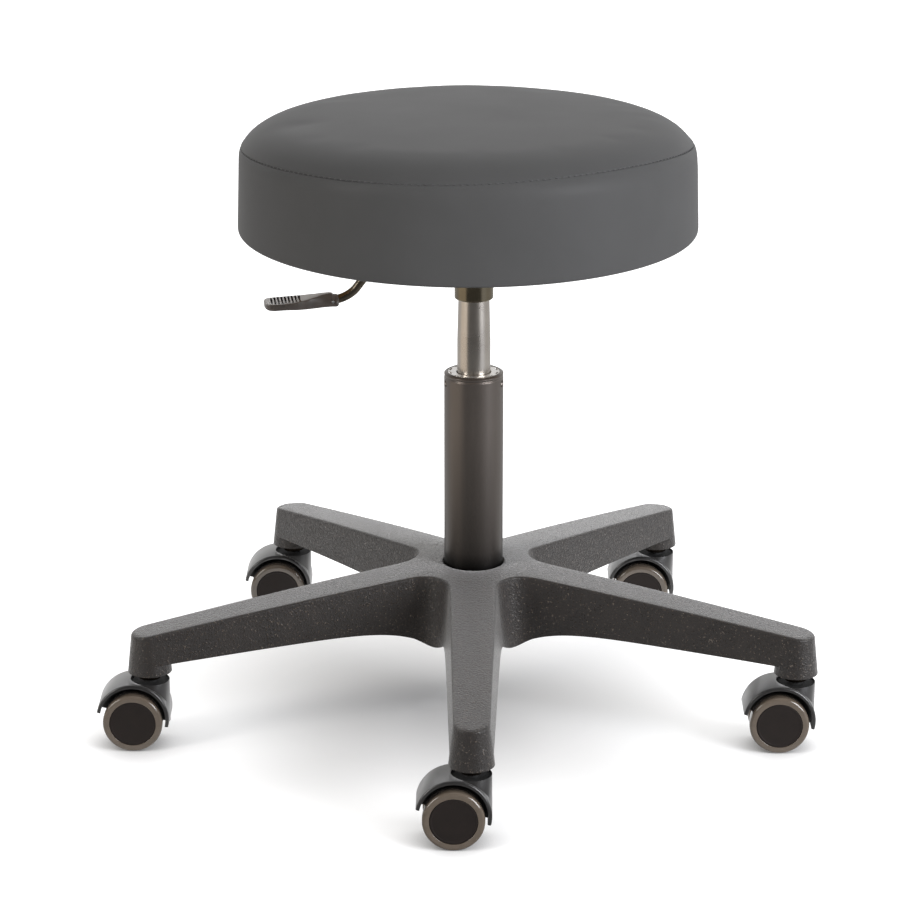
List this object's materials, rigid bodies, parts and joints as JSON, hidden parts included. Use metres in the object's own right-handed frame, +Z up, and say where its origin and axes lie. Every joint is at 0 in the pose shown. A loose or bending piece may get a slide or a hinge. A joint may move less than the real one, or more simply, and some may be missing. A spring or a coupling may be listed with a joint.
{
  "type": "rolling stool",
  "caption": "Rolling stool: a round padded vinyl seat on a swivelling gas lift with a side lever, over a moulded star base on hooded twin-wheel casters.",
  "frame": {"origin": "on the column's axis at floor level", "axes": "+Z up along the column; one leg points to -Y, toward the picture's viewer; the casters are drawn trailing to -X"},
  "size_m": [0.6046, 0.5566, 0.5273],
  "materials": {
    "vinyl": "fine-grained grey vinyl",
    "foam": "open-cell foam",
    "plywood": "bare plywood",
    "nylon": "textured black nylon",
    "black_plastic": "satin black plastic",
    "dark_plastic": "matt dark plastic",
    "grey_plastic": "textured dark grey plastic",
    "pale_plastic": "pale acetal",
    "tread": "soft warm-grey tread",
    "rubber": "black rubber",
    "column_steel": "satin black paint",
    "black_steel": "gloss black coat",
    "bare_steel": "ground bare steel",
    "plain_steel": "plain steel"
  },
  "bodies": {
    "base": {"base_star": "nylon", "column_tube": "column_steel", "guide_bush": "pale_plastic", "thrust_washer_lower": "plain_steel", "thrust_bearing": "plain_steel"},
    "spindle": {"piston_rod": "plain_steel", "piston": "dark_plastic", "retaining_clip": "plain_steel", "thrust_washer_upper": "plain_steel", "bumper": "rubber"},
    "seat": {"gas_cylinder": "bare_steel", "seat_plate": "black_steel", "seat_board": "plywood", "seat_foam": "foam", "seat_cover": "vinyl", "plate_screw_1": "plain_steel", "plate_screw_2": "plain_steel", "plate_screw_3": "plain_steel", "plate_screw_4": "plain_steel", "lever_pivot_pin": "plain_steel"},
    "lever": {"lever_rod": "black_steel", "lever_paddle": "grey_plastic", "paddle_screw": "plain_steel"},
    "release": {"release_pin": "plain_steel"},
    "front_caster": {"front_caster_hood": "black_plastic", "front_caster_stem": "plain_steel", "front_caster_axle": "plain_steel"},
    "front_wheel_a": {"front_wheel_a_core": "dark_plastic", "front_wheel_a_tread": "tread"},
    "front_wheel_b": {"front_wheel_b_core": "dark_plastic", "front_wheel_b_tread": "tread"},
    "right_caster": {"right_caster_hood": "black_plastic", "right_caster_stem": "plain_steel", "right_caster_axle": "plain_steel"},
    "right_wheel_a": {"right_wheel_a_core": "dark_plastic", "right_wheel_a_tread": "tread"},
    "right_wheel_b": {"right_wheel_b_core": "dark_plastic", "right_wheel_b_tread": "tread"},
    "rear_right_caster": {"rear_right_caster_hood": "black_plastic", "rear_right_caster_stem": "plain_steel", "rear_right_caster_axle": "plain_steel"},
    "rear_right_wheel_a": {"rear_right_wheel_a_core": "dark_plastic", "rear_right_wheel_a_tread": "tread"},
    "rear_right_wheel_b": {"rear_right_wheel_b_core": "dark_plastic", "rear_right_wheel_b_tread": "tread"},
    "rear_left_caster": {"rear_left_caster_hood": "black_plastic", "rear_left_caster_stem": "plain_steel", "rear_left_caster_axle": "plain_steel"},
    "rear_left_wheel_a": {"rear_left_wheel_a_core": "dark_plastic", "rear_left_wheel_a_tread": "tread"},
    "rear_left_wheel_b": {"rear_left_wheel_b_core": "dark_plastic", "rear_left_wheel_b_tread": "tread"},
    "left_caster": {"left_caster_hood": "black_plastic", "left_caster_stem": "plain_steel", "left_caster_axle": "plain_steel"},
    "left_wheel_a": {"left_wheel_a_core": "dark_plastic", "left_wheel_a_tread": "tread"},
    "left_wheel_b": {"left_wheel_b_core": "dark_plastic", "left_wheel_b_tread": "tread"}
  },
  "joints": [
    {"name": "seat_swivel", "type": "hinge", "parent": "base", "child": "spindle", "pos_m": [0, 0, 0.0667], "axis": [0, 0, 1], "continuous": true},
    {"name": "seat_lift", "type": "slide", "parent": "spindle", "child": "seat", "axis": [0, 0, 1], "range_m": [-0.05, 0.08]},
    {"name": "lever_lift", "type": "hinge", "parent": "seat", "child": "lever", "pos_m": [-0.02581, -0.00317, 0.40775], "axis": [-0.1219, 0.9925, 0], "range_deg": [0, 8], "stiffness_Nm_per_rad": 1.5, "springref_deg": -5.73},
    {"name": "release_press", "type": "slide", "parent": "seat", "child": "release", "axis": [0, 0, -1], "range_m": [0, 0.00364]},
    {"name": "front_caster_swivel", "type": "hinge", "parent": "base", "child": "front_caster", "pos_m": [0, -0.285, 0.0659], "axis": [0, 0, 1], "continuous": true},
    {"name": "front_wheel_a_spin", "type": "hinge", "parent": "front_caster", "child": "front_wheel_a", "pos_m": [-0.014, -0.29765, 0.025], "axis": [0, 1, 0], "continuous": true},
    {"name": "front_wheel_b_spin", "type": "hinge", "parent": "front_caster", "child": "front_wheel_b", "pos_m": [-0.014, -0.27235, 0.025], "axis": [0, 1, 0], "continuous": true},
    {"name": "right_caster_swivel", "type": "hinge", "parent": "base", "child": "right_caster", "pos_m": [0.27105, -0.08807, 0.0659], "axis": [0, 0, 1], "continuous": true},
    {"name": "right_wheel_a_spin", "type": "hinge", "parent": "right_caster", "child": "right_wheel_a", "pos_m": [0.25705, -0.10072, 0.025], "axis": [0, 1, 0], "continuous": true},
    {"name": "right_wheel_b_spin", "type": "hinge", "parent": "right_caster", "child": "right_wheel_b", "pos_m": [0.25705, -0.07542, 0.025], "axis": [0, 1, 0], "continuous": true},
    {"name": "rear_right_caster_swivel", "type": "hinge", "parent": "base", "child": "rear_right_caster", "pos_m": [0.16752, 0.23057, 0.0659], "axis": [0, 0, 1], "continuous": true},
    {"name": "rear_right_wheel_a_spin", "type": "hinge", "parent": "rear_right_caster", "child": "rear_right_wheel_a", "pos_m": [0.15352, 0.21792, 0.025], "axis": [0, 1, 0], "continuous": true},
    {"name": "rear_right_wheel_b_spin", "type": "hinge", "parent": "rear_right_caster", "child": "rear_right_wheel_b", "pos_m": [0.15352, 0.24322, 0.025], "axis": [0, 1, 0], "continuous": true},
    {"name": "rear_left_caster_swivel", "type": "hinge", "parent": "base", "child": "rear_left_caster", "pos_m": [-0.16752, 0.23057, 0.0659], "axis": [0, 0, 1], "continuous": true},
    {"name": "rear_left_wheel_a_spin", "type": "hinge", "parent": "rear_left_caster", "child": "rear_left_wheel_a", "pos_m": [-0.18152, 0.21792, 0.025], "axis": [0, 1, 0], "continuous": true},
    {"name": "rear_left_wheel_b_spin", "type": "hinge", "parent": "rear_left_caster", "child": "rear_left_wheel_b", "pos_m": [-0.18152, 0.24322, 0.025], "axis": [0, 1, 0], "continuous": true},
    {"name": "left_caster_swivel", "type": "hinge", "parent": "base", "child": "left_caster", "pos_m": [-0.27105, -0.08807, 0.0659], "axis": [0, 0, 1], "continuous": true},
    {"name": "left_wheel_a_spin", "type": "hinge", "parent": "left_caster", "child": "left_wheel_a", "pos_m": [-0.28505, -0.10072, 0.025], "axis": [0, 1, 0], "continuous": true},
    {"name": "left_wheel_b_spin", "type": "hinge", "parent": "left_caster", "child": "left_wheel_b", "pos_m": [-0.28505, -0.07542, 0.025], "axis": [0, 1, 0], "continuous": true}
  ],
  "couplings": [
    {"joint": "release_press", "follows": "lever_lift", "m_per_rad": 0.026}
  ]
}
